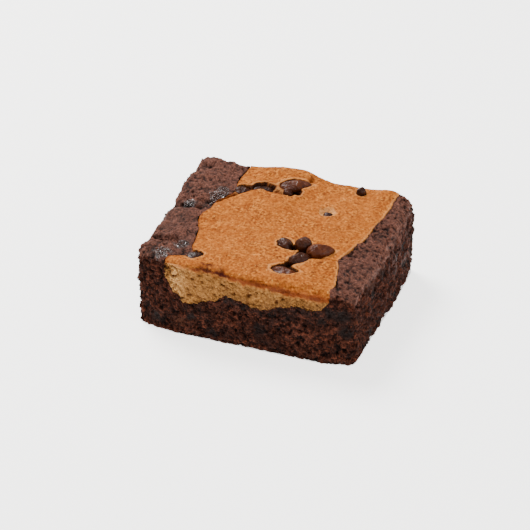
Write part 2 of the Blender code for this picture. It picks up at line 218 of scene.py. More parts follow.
# The chips: place, length, width, thickness, turn about Z and tilt in degrees, how far the top of each
# stands above the cookie around it, and how light its chocolate is.
CHIPS = {
    "chip_notch": ((-22.8, -27.7), (6.6, 5.0, 3.8), 15, 0, 0.4, 0.1),
    "chip_left_back": ((-21.4, 20.0), (6.4, 4.8, 4.0), 30, 0, 0.3, 0.3),
    "chip_slit_back": ((-13.5, 22.8), (8.8, 4.6, 5.0), 12, 0, 1.2, 0.1),
    "chip_long_back": ((-1.8, 26.9), (12.0, 5.8, 5.0), 22, -4, 1.5, 0.8),
    "chip_small_back": ((-2.9, 20.7), (3.8, 3.4, 5.0), -20, 0, 4.0, 0.5),
    "chip_upright": ((23.5, 31.6), (4.3, 3.5, 5.6), 75, 0, 2.9, 0.2),
    "chip_sunk": ((15.7, 14.8), (4.4, 3.6, 3.2), 10, 0, -0.3, 0.1),
    "chip_cluster_left": ((7.0, -10.8), (6.6, 5.6, 5.6), -50, 8, 1.9, 0.35),
    "chip_cluster_round": ((14.2, -10.0), (6.6, 6.2, 6.6), 70, 12, 4.0, 0.4),
    "chip_cluster_lens": ((21.5, -12.5), (10.4, 6.2, 5.8), 34, 2, 3.6, 1.0),
    "chip_cluster_front": ((15.6, -19.4), (8.2, 6.2, 6.2), 36, -4, 2.8, 0.3),
    "chip_slit_front": ((12.6, -27.3), (10.6, 5.0, 4.0), -2, 0, 0.2, 1.0),
}
CHIP_RINGS = 28
CHIP_SEGMENTS = 36
# Size of a chip against its pocket's, how it narrows to its point, and its facets: how far out they lie, how
# they lean, how sharply they cut, and what share they take.
CHIP_SWELL = 1.05
CHIP_TAPER = 0.28
CHIP_POINT = 0.12
FACET_REACH = 0.86
FACET_LEANS = (-0.5, 0.75)
FACET_SHARP = 9
FACET_CUT = 0.85
# Unevenness of a chip: height and size.
CHIP_UNEVEN = (0.16, 2.4)
# The open pit round the sunk chip: x, y, radius and depth, and how steep its wall is.
PIT = (15.0, 15.4, 2.9, 2.4)
PIT_STEEP = 4
# Holes beside the chips, where the dough sank away from them: (x, y, radius).
HOLES = [(10.4, -12, 1.9), (13, -23.2, 1.7), (14.6, -14.9, 1.7), (18.3, -16.6, 1.4), (0, 22, 2.3)]
# A pocket's outline against its chip's, how deep it is, how high its rim, and how readily near ones join.
POCKET_GAP = 0.05
POCKET_DEPTH = 2.6
POCKET_RIM = 0.2
POCKET_JOIN = 7.0

# Grains of the brownie's crumb, of its crust and of the cookie's crumb: (size, salt, share fallen out).
CUT_LARGE = (1.5, 1, 0.2)
CUT_SMALL = (0.8, 2, 0.32)
CRUST_BEADS = (1.5, 61, 0.14)
CRUST_SEEDS = (0.85, 62, 0.2)
COOKIE_LARGE = (1.1, 3, 0.12)
COOKIE_SMALL = (0.62, 4, 0.1)
# The cookie's holes and its browning lie in streaks along X: a share of each axis.
STREAKS = np.array([0.55, 1.0, 1.0])
# Round pits of the crust and pores of the cookie: (size of a grain, salt, full within, none from, share).
CRUST_PITS = (2.4, 14, 0.16, 0.36, 0.35)
COOKIE_PORES = (2.3, 55, 0.07, 0.17, 0.3)
# Ruggedness of the side cuts and of the other two.
RUGGED = (1.5, 0.6)
# The middle lobe of the left crust is smoother, between these places along Y.
SMOOTH_FROM = (-17, -10)
SMOOTH_TO = (6, 2)
# Dark fudgy spots in the front cut: (x, z, radius). The others get this many, strewn between these limits.
FUDGE_FRONT = [
    (-36.2, 4.8, 3.2), (-13, 3.1, 3), (5.1, 9.3, 3), (37.5, 21.5, 4.4), (38.5, 14.5, 4), (-6.5, 20, 2.4),
    (33, 23, 3.6), (30, 19, 2.8), (16.5, 17.2, 2.4), (-22, 9, 2.2),
]
FUDGE_SIDES = 9
FUDGE_RANGE = ((-34, 2, 1.8), (34, 24, 3.8))
# A smooth lighter smear of melted chip in the front cut.
SMEAR = (-26.5, 6.2, 2.8)
# Shiny patches of the left crust: (x, y, radius).
SHINY = [
    (-28.6, 12.4, 4.2), (-29.6, 7.4, 3), (-27.4, 17, 2.8), (-37, 3.4, 2.9), (-35, -30.6, 3.7),
    (-30.2, -22.6, 3.2),
]
# Burnt spots at the cookie's front: (x, z, half width, half height, strength), and how far back they go.
BURNT = [
    (-15.7, 31, 4.2, 1.7, 0.85), (-9.8, 30.4, 4, 1.9, 1), (27, 28, 3.4, 1.2, 0.5), (14, 28.8, 6, 1, 0.4),
    (4, 29.4, 4, 1, 0.35),
]
BURNT_REACH = 3.8

# Loose crumbs: how many, their smallest and largest size, and their seed.
BROWNIE_CRUMBS = (7600, (0.22, 0.52), 21)
COOKIE_CRUMBS = (2300, (0.18, 0.42), 22)
CRUMB_RINGS = 3
CRUMB_SEGMENTS = 6
CRUMB_SINK = 0.05

# Finishes of the brownie: gloss, then size and depth of its bumps.
BROWNIE_FINISHES = {
    "brownie crumb": (0.07, 0.5, 0.35),
    "brownie crust": (0.2, 0.5, 0.35),
    "glazed brownie crust": (1.0, 1.2, 1.5),
}
COOKIE_GLOSS = 0.06
CHOCOLATE_GLOSS = 0.19
# Colours laid over one another, from below: the first colour, then layers of (share, strength, colour). A
# share is a mark by its name, or a speckle by its size, detail and limits.
CRUMB_COLOURS = [
    (0.022, 0.0052, 0.0028),
    ("grain", 1.0, (0.168, 0.045, 0.0225)),
    ((0.45,), 0.8, (0.008, 0.002, 0.001)),
    ((6.5, 3.0, 0.5, 0.68), 0.55, (0.012, 0.0045, 0.003)),
    # The hollow layer is painted shade, near black, in the crumb's holes and between its grains; on loose
    # crumbs it is a random darkening.
    ("hollow", 1.0, (0.003, 0.001, 0.0006)),
    ("fudge", 1.0, (0.0105, 0.0058, 0.0048)),
    # The smear layer is melted chip smeared on the front cut, and painted sheen in smooth patches on the
    # right cut.
    ("smear_and_sheen", 1.0, (0.07, 0.025, 0.014)),
]
CRUST_COLOURS = [
    (0.032, 0.01, 0.006),
    ((0.7, 4.0), 1.0, (0.26, 0.095, 0.058)),
    ((5.0,), 0.5, (0.13, 0.044, 0.028)),
    ("shine", 0.7, (0.03, 0.011, 0.008)),
    # The crust's hollow layer is painted shade in its wrinkles, pits and low places.
    ("hollow", 1.0, (0.012, 0.0035, 0.002)),
]
SKIN_MOTTLE = (3.2, 3.0, 0.38, 0.62)
SKIN_COLOURS = [
    (0.13, 0.023, 0.003),
    ((1.0, 5.0, 0.33, 0.67), 1.0, (0.78, 0.257, 0.039)),
    (SKIN_MOTTLE, 0.55, (0.29, 0.06, 0.0075)),
    ((9.0, 2.0, 0.38, 0.6), 0.35, (0.52, 0.153, 0.022)),
    # Painted glints: sparse bright yellow specks.
    ((1.1, 2.0, 0.64, 0.74), 0.65, (0.88, 0.4, 0.095)),
    # The brown layer is real browning along the front edge, and painted shade at the bottom of the fold.
    ("brown", 0.85, (0.12, 0.02, 0.0034)),
    ("pale", 0.5, (0.85, 0.38, 0.12)),
    # The rim layer is painted shade along the cookie's left edge, beside the crust.
    ("rim", 0.45, (0.2, 0.055, 0.012)),
    ("burnt", 1.0, (0.055, 0.008, 0.005)),
    # The skin's hollow layer is painted shade in its pores.
    ("hollow", 1.0, (0.1, 0.022, 0.005)),
    # The pocket layer is painted shade on the walls of the chips' pockets.
    ("pocket", 1.0, (0.04, 0.013, 0.006)),
]
DOUGH_COLOURS = [
    (0.15, 0.058, 0.011),
    ((1.0, 5.0, 0.33, 0.67), 1.0, (0.42, 0.19, 0.05)),
    ("foot", 0.85, (0.1, 0.044, 0.013)),
    ("pale", 0.75, (0.72, 0.38, 0.13)),
    # The crumb's hollow layer is painted shade in the holes of the cookie's cut.
    ("hollow", 1.0, (0.07, 0.018, 0.003)),
]
DARK_CHOCOLATE = [(0.009, 0.0026, 0.0014), ((1.6, 3.0), 1.0, (0.032, 0.009, 0.0045))]
MILD_CHOCOLATE = [(0.055, 0.01, 0.0022), ((2.2, 3.0), 1.0, (0.11, 0.026, 0.006))]

# The floor's half width in metres, its colour and roughness, and its glow. The light of the sky.
FLOOR_HALF = 1.5
FLOOR_COLOUR = (0.9, 0.895, 0.88, 1)
FLOOR_ROUGHNESS = 0.6
FLOOR_GLOW = 2.4
GLOW_COLOUR = (1.0, 0.99, 0.97, 1)
SKY = 0.6
SKY_COLOUR = (1.0, 0.99, 0.975, 1)
# Lights: place and size in metres and power in watts. The first is the main one, high at the back left.
LIGHTS = {
    "key": ((-0.45, 0.3, 0.75), 0.45, 15.0),
    "fill": ((0.8, -0.25, 0.5), 0.8, 4.0),
}
# The camera: its turn to the right and rise in degrees, its distance and aim in metres, the picture's width
# and the focal length in picture points, and the sensor's width.
CAMERA_TURN = 19.7
CAMERA_RISE = 33.8
CAMERA_FAR = 0.806
CAMERA_AIM = Vector((0.0, 0.0, 0.016))
PICTURE = 530
FOCAL = 2100.0
SENSOR = 36.0
# The brookie's middle lies this many picture points right of and above the picture's middle.
OFF_RIGHT = 12.2
OFF_UP = 2.7

# The noises: primes and stirring for a cell's whole numbers, gain of the waves, lattice of the slow noise.
MIX = (374761393, 668265263, 1440662683)
STIR = 1274126177
SALT_STEP = 97531
LOW_BITS = 0xFFFFFF
WAVE_GAIN = 1.5
LATTICE_SIZE = 24
LATTICE = np.random.default_rng(11).random((LATTICE_SIZE,) * 3) * 2 - 1


def soft(low, high, value):
    """0 up to low, 1 from high, and an S-curve between them."""
    t = np.clip((value - low) / (high - low), 0, 1)
    return t * t * (3 - 2 * t)


def line(knots, at):
    """A smooth line through (place, value) knots: cubic pieces that share their slope at each knot."""
    place, value = np.array(knots, float).T
    slope = np.gradient(value, place)
    i = np.clip(np.searchsorted(place, at) - 1, 0, len(place) - 2)
    span = place[i + 1] - place[i]
    t = np.clip((at - place[i]) / span, 0, 1)
    start = (2 * t**3 - 3 * t**2 + 1) * value[i] + (t**3 - 2 * t**2 + t) * span * slope[i]
    end = (3 * t**2 - 2 * t**3) * value[i + 1] + (t**3 - t**2) * span * slope[i + 1]
    return start + end


def chance(cell, salt):
    """A number from 0 to 1 for each lattice cell: its whole numbers times three primes, summed and
    stirred."""
    n = cell[..., 0] * MIX[0] + cell[..., 1] * MIX[1] + cell[..., 2] * MIX[2] + salt * SALT_STEP
    n = (n ^ (n >> 13)) * STIR
    n = (n ^ (n >> 15)) * STIR
    return ((n ^ (n >> 16)) & LOW_BITS) / LOW_BITS


def waves(place, size, salt):
    """Soft noise from about -1 to 1: each lattice corner has a random slope, and a place blends the eight
    slopes around it with a curve that is flat at the corners."""
    place = place / size
    cell = np.floor(place).astype(np.int64)
    part = place - cell
    ease = part**3 * (part * (part * 6 - 15) + 10)
    total = np.zeros(len(place))
    for corner in np.ndindex(2, 2, 2):
        slope = np.stack([chance(cell + corner, salt * 3 + n) for n in range(3)], -1) * 2 - 1
        share = np.where(corner, ease, 1 - ease).prod(-1)
        total += (slope * (part - corner)).sum(-1) * share
    return total * WAVE_GAIN


def rough(place, layers):
    """The sum of some layers of waves, each with its own height, size and salt."""
    return sum(height * waves(place, size, salt) for height, size, salt in layers)


def grains(place, size, salt):
    """Grains of a size: each lattice cell holds one random middle. Returns how far the nearest middle is, in
    sizes, and that grain's own number from 0 to 1."""
    place = place / size
    cell = np.floor(place).astype(np.int64)
    nearest = np.full(len(place), np.inf)
    number = np.zeros(len(place))
    for step in np.ndindex(3, 3, 3):
        other = cell + step - 1
        middle = other + np.stack([chance(other, salt * 5 + n) for n in range(3)], -1)
        far = np.sqrt(((place - middle) ** 2).sum(-1))
        number = np.where(far < nearest, chance(other, salt * 5 + 4), number)
        nearest = np.minimum(nearest, far)
    return nearest, number


def pits(place, size, salt, full, none, share):
    """Round pits in a share of some grains: 1 up to full from a grain's middle and 0 from none, in sizes."""
    near, number = grains(place, size, salt)
    return soft(none, full, near) * (number < share)


def noise(x, y, z, size):
    """Soft values from -1 to 1, alike over about size: random ones on a cubic lattice, blended between its
    points."""
    place = np.stack(np.broadcast_arrays(x, y, z), -1) / size
    cell = np.floor(place).astype(int)
    part = place - cell
    part = part * part * (3 - 2 * part)
    total = 0
    for corner in np.ndindex(2, 2, 2):
        i, j, k = np.moveaxis((cell + corner) % LATTICE_SIZE, -1, 0)
        share = np.where(corner, part, 1 - part).prod(-1)
        total = total + LATTICE[i, j, k] * share
    return total


def lumps(x, y, level, layers):
    """The sum of some layers of soft noise, each with its own height and size, at places x, y on a level."""
    return sum(height * noise(x, y, level, size) for height, size in layers)


def cookie_edge(knots, y):
    """The cookie's left or right edge seen from above: its line, made a little ragged by soft noise."""
    at = np.stack([np.full_like(y, knots[0][1]), y, np.zeros_like(y)], -1)
    return line(knots, y) + rough(at, EDGE_RAGS)


def cookie_top(x, y):
    """Height of the cookie: the front and back heights blended, the fold, the mounds and slow lumps."""
    back = np.clip(y / DEPTH + 0.5, 0, 1) ** BACK_CURVE
    height = line(COOKIE_FRONT, x) * (1 - back) + line(COOKIE_BACK, x) * back
    ahead = line(FOLD, x) - y
    lip = soft(-FOLD_WIDTH, FOLD_WIDTH, ahead) * soft(FOLD_REACH, FOLD_CREST, ahead)
    groove = np.exp(-((ahead / FOLD_WIDTH + 1) ** 2))
    height = height + (FOLD_RISE * lip - FOLD_GROOVE * groove) * (1 - soft(*FOLD_END, x))
    for mound_x, mound_y, radius, rise in MOUNDS:
        height = height + rise * np.exp(-((x - mound_x) ** 2 + (y - mound_y) ** 2) / radius**2)
    return height + lumps(x, y, COOKIE_SLICE, COOKIE_LUMPS)


def cookie_dents(x, y):
    """What the crease and the pit add to that height: a narrow dip with a soft roll before it, and a
    flat-bottomed round hollow."""
    before = line(CREASE, x) - y
    along = soft(CREASE[0][0] - CREASE_FADE, CREASE[0][0] + CREASE_FADE, x)
    dip = CREASE_DEPTH * np.exp(-((before / CREASE_WIDTH) ** 2))
    roll = CREASE_LIP * np.exp(-((before / CREASE_ROLL - 1) ** 2))
    pit_x, pit_y, radius, depth = PIT
    return (roll - dip) * along - depth * np.exp(-((np.hypot(x - pit_x, y - pit_y) / radius) ** PIT_STEEP))


def crust_top(x, y):
    """Height of the bare brownie beside the cookie. It runs from just under the cookie's edge, 0, out to the
    side's own height, 1. The left one bulges between the two, and cracks part it into lobes."""
    on_left = x < 0
    edge = np.where(on_left, line(COOKIE_LEFT, y), line(COOKIE_RIGHT, y))
    side = np.where(on_left, line(CRUST_LEFT, y), line(CRUST_RIGHT, y))
    out = np.clip((np.abs(x) - np.abs(edge)) / (HALF_X - np.abs(edge)), 0, 1)
    nought = np.zeros_like(x)
    uneven = np.where(on_left, *SEAM_UNEVEN) * waves(np.stack([x, y, nought], -1), SEAM_SIZE, 8)
    drop = np.where(on_left, *CRUST_DROP) + uneven * soft(SEAM_REACH, 0, out)
    height = (cookie_top(edge, y) - drop) * (1 - out) + side * out
    height = height + LOBE_RISE * np.sin(np.pi * out) * on_left
    wander = CRACK_WANDER * waves(np.stack([x, nought, nought], -1), CRACK_SIZE, 7)
    for place, half_width, depth in CRACKS:
        crack = np.exp(-(((y - place - wander) / half_width) ** 2)) * soft(0, CRACK_START, out)
        height = height - depth * crack * on_left
    return height + lumps(x, y, CRUST_SLICE, CRUST_LUMPS)


def cookie_under(across, y):
    """Height of the cookie's underside: the two cuts' lines blended from front to back, with slow lumps and
    fine rags, strongest near the left edge."""
    back = soft(-HALF_Y, HALF_Y, y)
    height = line(UNDER_FRONT, across) * (1 - back) + line(UNDER_BACK, across) * back
    middle = soft(0, UNDER_CALM, across) * soft(1, 1 - UNDER_CALM, across)
    ragged = rough(np.stack([across * RAG_SPAN, y, np.full_like(y, RAG_SLICE)], -1), UNDER_RAGS)
    strength = soft(0, RAG_START, across) * (1 + RAG_LEFT * soft(*RAG_LEFT_END, across))
    return height + middle * lumps(across * LUMP_SPAN, y, UNDER_SLICE, UNDER_LUMPS) + ragged * strength


def drawn_in(a, b):
    """What share of a and b is left where a square corner is drawn in to a quarter ellipse. They are the ways
    out from its inner sides: the larger of the two over the length of both, and 1 outside the corner."""
    both = (a > 0) & (b > 0)
    return np.where(both, np.maximum(a, b) / np.maximum(np.hypot(a, b), 1e-9), 1)


def round_edge(side, height, top, reach, drop):
    """Rounds a top edge, reach wide and drop deep: side is the distance in from the cut and height runs up
    to top. Returns the new distance and height."""
    a = np.clip(1 - side / reach, 0, 1)
    b = np.clip(1 - (top - height) / drop, 0, 1)
    shrink = drawn_in(a, b)
    return side + reach * a * (1 - shrink), height - drop * b * (1 - shrink)


def round_ends(x, y, z, top):
    """Rounds the top edges over the front and back cuts in that way."""
    end_in = np.where(y < 0, line(FRONT_IN, x), EDGE_BACK)
    end_down = np.where(y < 0, line(FRONT_DOWN, x), EDGE_BACK)
    end, z = round_edge(HALF_Y - np.abs(y), z, top, end_in, end_down)
    return np.sign(y) * (HALF_Y - end), z


def round_corners(x, y):
    """Rounds the upright corners in the same way, each to a quarter circle."""
    a = np.clip(np.abs(x) - (HALF_X - CORNER), 0, None)
    b = np.clip(np.abs(y) - (HALF_Y - CORNER), 0, None)
    shrink = drawn_in(a, b)
    return x - np.sign(x) * a * (1 - shrink), y - np.sign(y) * b * (1 - shrink)


def bow(x, y):
    """Bends the front and right cuts: a point moves in by its cut's bow, and less the deeper it lies."""
    left = np.maximum(line(RIGHT_BOW, y), 0) * soft(HALF_X - BOW_REACH, HALF_X, x)
    back = np.maximum(line(FRONT_BOW, x), 0) * soft(BOW_REACH - HALF_Y, -HALF_Y, y)
    return x - left, y + back


def tear_sides(x, y, z, on_side, on_end):
    """Moves points of the left and right cuts in along X, and of the front and back cuts along Y, by torn
    lumps of two sizes, never outwards, and a lean at the foot."""
    inward = TEAR * np.clip(TEAR_SHARE + lumps(x, y, z, TEAR_LUMPS), 0, 1) + LEAN * soft(LEAN_TOP, 0, z)
    return x - np.sign(x) * inward * on_side, y - np.sign(y) * inward * on_end


def skin(cells, thin):
    """The outside of a block of cells: six grids of whole-number corners, sewn where they meet. thin moves
    hidden corners onto fewer ones. Returns the corners and the quads over them."""
    sides = []
    for axis in range(3):
        u, v = (axis + 1) % 3, (axis + 2) % 3
        a, b = np.meshgrid(np.arange(cells[u] + 1), np.arange(cells[v] + 1), indexing="ij")
        for end in (0, cells[axis]):
            corner = np.empty(a.shape + (3,), np.int64)
            corner[..., axis] = end
            corner[..., u] = a
            corner[..., v] = b
            ring = [corner[:-1, :-1], corner[1:, :-1], corner[1:, 1:], corner[:-1, 1:]]
            if end == 0:
                ring.reverse()
            sides.append(np.stack(ring, 2).reshape(-1, 4, 3))
    corners = thin(np.concatenate(sides).reshape(-1, 3))
    key = (corners[:, 0] * 1024 + corners[:, 1]) * 1024 + corners[:, 2]
    _, first, index = np.unique(key, return_index=True, return_inverse=True)
    return corners[first], index.reshape(-1, 4)


def thinned(corner, hidden, axes):
    """Moves hidden corners onto every THIN-th one along the axes given."""
    for axis in axes:
        coarse = np.round(corner[:, axis] / THIN).astype(np.int64) * THIN
        corner[:, axis] = np.where(hidden, coarse, corner[:, axis])
    return corner


def outward(points, quads):
    """Each point's way out: the crossed diagonals of the quads round it, summed and made one long."""
    across = np.cross(points[quads[:, 2]] - points[quads[:, 0]], points[quads[:, 3]] - points[quads[:, 1]])
    total = np.zeros_like(points)
    for corner in range(4):
        np.add.at(total, quads[:, corner], across)
    return total / np.maximum(np.linalg.norm(total, axis=1, keepdims=True), 1e-12)


def net(name, points, quads, finishes, marks, shares=()):
    """Puts a net of quads into the scene as a smooth mesh. A quad with two corners in one place becomes a
    triangle, and one that has closed up is left out. marks are numbers kept for the finish at each point.
    Each later finish has the faces over which the mean of its share is above a half."""
    same = quads == np.roll(quads, -1, 1)
    left = 4 - same.sum(1)
    fours = quads[left == 4]
    threes = quads[left == 3][~same[left == 3]].reshape(-1, 3)
    mesh = bpy.data.meshes.new(name)
    mesh.from_pydata(points * MM, [], fours.tolist() + threes.tolist())
    for key, values in marks.items():
        store = mesh.attributes.new(key, "FLOAT", "POINT")
        store.data.foreach_set("value", np.ascontiguousarray(values, np.float32))
    mesh.shade_smooth()
    for finish in finishes:
        mesh.materials.append(finish)
    index = np.zeros(len(mesh.polygons), np.int32)
    for number, share in enumerate(shares, 1):
        mean = np.concatenate([share[fours].mean(1), share[threes].mean(1)])
        index[mean > 0.5] = number
    mesh.polygons.foreach_set("material_index", index)
    made = bpy.data.objects.new(name, mesh)
    bpy.context.scene.collection.objects.link(made)
    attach(made, "root")
    return made


def keep_inside(points):
    """Holds every point inside the frame's box, so that no grain stands out of the food's own size."""
    return np.clip(points, (-HALF_X, -HALF_Y, 0), (HALF_X, HALF_Y, TOP_LIMIT))


def thin_brownie(corner):
    """The floor of the cookie's hollow and the base are hidden, apart from their rims."""
    i, j, k = corner.T
    inner = (j >= THIN) & (j <= BROWNIE_ROWS - THIN)
    floor = inner & (k == BROWNIE_LEVELS) & (i >= FIRST + THIN) & (i <= LAST - THIN)
    base = inner & (k == 0) & (i >= THIN) & (i <= ACROSS - THIN)
    return thinned(corner, floor | base, (0, 1))


def brownie_places(corner):
    """The brownie's corners carried to their places: columns follow the cookie's edges, levels share out the
    height up to the crust or the hollow's floor, then edges are rounded and cuts torn. Also how deep each
    point lies below its column's top, and whether it is under the cookie."""
    i, j, k = corner.T
    y = (j / BROWNIE_ROWS * 2 - 1) * HALF_Y
    left = cookie_edge(COOKIE_LEFT, y) - CREVICE
    right = cookie_edge(COOKIE_RIGHT, y) + CREVICE
    across = np.clip((i - FIRST) / OVER_CELLS, 0, 1)
    on_left = -HALF_X + (left - WALL + HALF_X) * i / LEFT_CELLS
    on_right = right + WALL + (HALF_X - right - WALL) * (i - LAST - 1) / RIGHT_CELLS
    x = np.select([i <= LEFT_CELLS, i <= LAST], [on_left, left + (right - left) * across], on_right)
    under = (i >= FIRST) & (i <= LAST)
    top = np.where(under, cookie_under(across, y) - SEAT_GAP, crust_top(x, y))
    z = top * k / BROWNIE_LEVELS
    below = top - z
    side_in = np.where(x < 0, EDGE_LEFT, line(RIGHT_IN, y))
    side_down = np.where(x < 0, EDGE_LEFT, line(RIGHT_DOWN, y))
    side, side_z = round_edge(HALF_X - np.abs(x), z, top, side_in, side_down)
    x = np.where(under, x, np.sign(x) * (HALF_X - side))
    z = np.where(under, z, side_z)
    end_y, end_z = round_ends(x, y, z, top)
    y = np.where(under, y, end_y)
    z = np.where(under, z, end_z)
    x, y = tear_sides(x, y, z, (i == 0) | (i == ACROSS), (j == 0) | (j == BROWNIE_ROWS))
    x, y = bow(*round_corners(x, y))
    return np.stack((x, y, z), -1), below, under


def crumb(place, size, salt, missing):
    """Open crumb: each grain is a dome, high where its middle is near. Of the grains, the share missing has
    fallen out and left a hole. Returns the height from 0 to 1 and the grain's own number."""
    near, number = grains(place, size, salt)
    dome = np.sqrt(np.clip(1 - (near / 0.85) ** 2, 0, 1))
    return np.where(number < missing, dome * 0.15, dome), number


def crust_share(place, below):
    """1 on the brownie's baked top and 0 on its cuts. The crust reaches down over the rounded edges, most at
    the front left, and ends in an uneven line, sharper on the left."""
    x, y, _ = place.T
    at_front = soft(2.0, 0.4, y + HALF_Y)
    reach = np.where(x < 0, 0.8 + (line(FRONT_DOWN, x) - EDGE_BACK) * at_front, 0.6 * line(RIGHT_DOWN, y))
    ragged = np.where(x < 0, 0.7 * waves(place, 1.6, 21), 2.2 * waves(place, 2.8, 21))
    change = np.where(x < 0, 0.45, 3.0)
    return 1 - soft(-1, 1, (below - reach + ragged + 0.5 * waves(place, 0.8, 22)) / change)


def spots(flat, middles):
    """How much a place lies in any of some round spots, from 0 to 1: 1 inside a quarter of the radius."""
    share = np.zeros(len(flat))
    for a, b, radius in middles:
        share = np.maximum(share, soft(1.25, 0.25, np.hypot(flat[:, 0] - a, flat[:, 1] - b) / radius))
    return share


def frayed(place, size, far, salt):
    """Places moved about by noise of a size, which breaks up the rims of the spots asked for at them."""
    return place + far * np.stack([waves(place, size, salt + n) for n in range(3)], -1)


def fudge_share(place, side, end):
    """Dark dense spots in the cuts: those seen in the front, and strewn ones in the sides and the back."""
    x, y, _ = place.T
    bent = frayed(place, 2.4, 1.7, 31)
    strew = np.random.default_rng(5)
    share = spots(bent[:, [0, 2]], FUDGE_FRONT) * (end & (y < 0))
    for where, across in ((side & (x > 0), 1), (side & (x < 0), 1), (end & (y > 0), 0)):
        middles = strew.uniform(*FUDGE_RANGE, (FUDGE_SIDES, 3))
        share = np.maximum(share, spots(bent[:, [across, 2]], middles) * where)
    return share


def cut_crumb(place, side, fudge, smear_and_sheen):
    """Torn crumb: grains of two sizes on lumps, with holes, calmer where fudgy, smeared or sheened. Returns
    its height, the painted shade of its holes and of the gaps between its grains, from 0 to 1, and each
    large grain's own number."""
    large, number = crumb(place, *CUT_LARGE)
    small, _ = crumb(place, *CUT_SMALL)
    hole = soft(0.3, 0.7, waves(place, 2.0, 5))
    lump = 1.2 * np.abs(waves(place, 3.8, 9)) + 0.5 * waves(place, 2.4, 10) - 0.5
    lump = lump * np.where(side, *RUGGED)
    calm = 1 - 0.75 * np.maximum(fudge * 0.5, smear_and_sheen)
    height = (0.55 * large + 0.5 * small - 0.8 * hole + lump) * calm - 0.5
    # Painted shade: darker in the holes and between the grains, where the crumb lies low.
    hollow = np.clip(1.1 - 0.6 * large - 0.8 * small + 0.6 * hole - 0.5 * lump, 0, 1)
    return height, hollow * (1 - 0.6 * smear_and_sheen), number


def crust_grain(place, shine):
    """The crust: puffs with wrinkles, beads, seeds and pits, less coarse in the middle lobe and where it
    shines. Returns its height, the painted shade of its low places and pits, and how coarse it is."""
    x, y, _ = place.T
    coarse = 1 - 0.6 * soft(*SMOOTH_FROM, y) * soft(*SMOOTH_TO, y) * (x < 0)
    puff = 0.8 * waves(place, 5.0, 15) + 0.8 * np.abs(waves(place, 3.0, 11))
    wrinkle = puff + rough(place, CRUST_WRINKLES) * coarse - 0.25
    coarse = coarse * (1 - 0.55 * shine)
    bead, _ = crumb(place, *CRUST_BEADS)
    seed, _ = crumb(place, *CRUST_SEEDS)
    pit = pits(place, *CRUST_PITS)
    height = 0.65 * wrinkle + (0.42 * bead + 0.3 * seed - 0.45) * coarse - 0.8 * pit - 0.05
    # Painted shade: darker where the crust lies low, in its pits and between beads and seeds.
    hollow = 0.3 - 0.8 * wrinkle + (0.75 - 0.85 * bead - 0.6 * seed) * coarse + 0.8 * pit
    return height, np.clip(hollow, 0, 1), coarse


def make_brownie(finishes):
    """The brownie's net: each point moves out by the height of the crumb or the crust, blended by the share
    of crust. Returns the seats for its loose crumbs: places, ways out, how crowded, how fudgy, how crusty."""
    corner, quads = skin((ACROSS, BROWNIE_ROWS, BROWNIE_LEVELS), thin_brownie)
    place, below, under = brownie_places(corner)
    way = outward(place, quads)
    x, y, _ = place.T
    i, j, k = corner.T
    on_top = k == BROWNIE_LEVELS
    side = ((i == 0) | (i == ACROSS)) & ~on_top
    end = ((j == 0) | (j == BROWNIE_ROWS)) & ~on_top
    floor = on_top & under & (j > 1) & (j < BROWNIE_ROWS - 1)
    base = (k == 0) & ~side & ~end
    crust = np.where(under, 0.0, np.where(on_top, 1.0, crust_share(place, below)))
    fudge = fudge_share(place, side, end)
    smear_and_sheen = spots(place[:, [0, 2]], [SMEAR]) * (end & (y < 0))
    # The same mark paints a sheen on the right cut: smooth even patches of one colour that stand in for a
    # soft reflection.
    smear_and_sheen = np.maximum(smear_and_sheen, 0.7 * soft(0.3, 0.75, waves(place, 4.2, 16)) * side * (x > 0))
    shine = spots(frayed(place, 2.0, 1.6, 35)[:, :2], SHINY) * crust
    cut_height, cut_hollow_shade, number = cut_crumb(place, side, fudge, smear_and_sheen)
    crust_height, crust_hollow_shade, coarse = crust_grain(place, shine)
    relief = np.where(floor | base, 0.0, cut_height * (1 - crust) + crust_height * crust)
    points = keep_inside(place + way * relief[:, None])
    points[:, 2] = np.where(k == 0, 0.0, points[:, 2])
    moist = soft(4.4, 1.0, below + 1.2 * waves(place, 2.6, 17)) * under * end * soft(-12, 0, x)
    marks = {
        "hollow": cut_hollow_shade * (1 - crust) + crust_hollow_shade * crust,
        "crust": crust,
        "fudge": np.maximum(fudge, 0.7 * moist),
        "grain": number,
        "smear_and_sheen": smear_and_sheen,
        "shine": shine,
    }
    made = net("brownie_block", points, quads, finishes, marks, (crust, 1.3 * shine))
    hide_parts("brownie")
    rough_crust = (crust > 0.9) & (chance(corner, 63) < 0.12) & (coarse > 0.7)
    seat = ((side | end) & (crust < 0.3) & (k > 1)) | rough_crust
    seam = soft(1.6, 0.4, below) * under
    return points[seat], way[seat], 1 + 3 * seam[seat], fudge[seat], crust[seat]


def thin_cookie(corner):
    """The cookie's underside and its left and right walls are hidden inside the brownie, apart from their
    rims."""
    i, j, k = corner.T
    inner = (j >= THIN) & (j <= COOKIE_ROWS - THIN)
    under = inner & (k == 0) & (i >= THIN) & (i <= COOKIE_CELLS - THIN)
    corner = thinned(corner, under, (0, 1))
    i, j, k = corner.T
    wall = inner & ((i == 0) | (i == COOKIE_CELLS)) & (k >= 1) & (k <= COOKIE_LEVELS - FINE_LEVELS)
    return thinned(corner, wall, (1,))


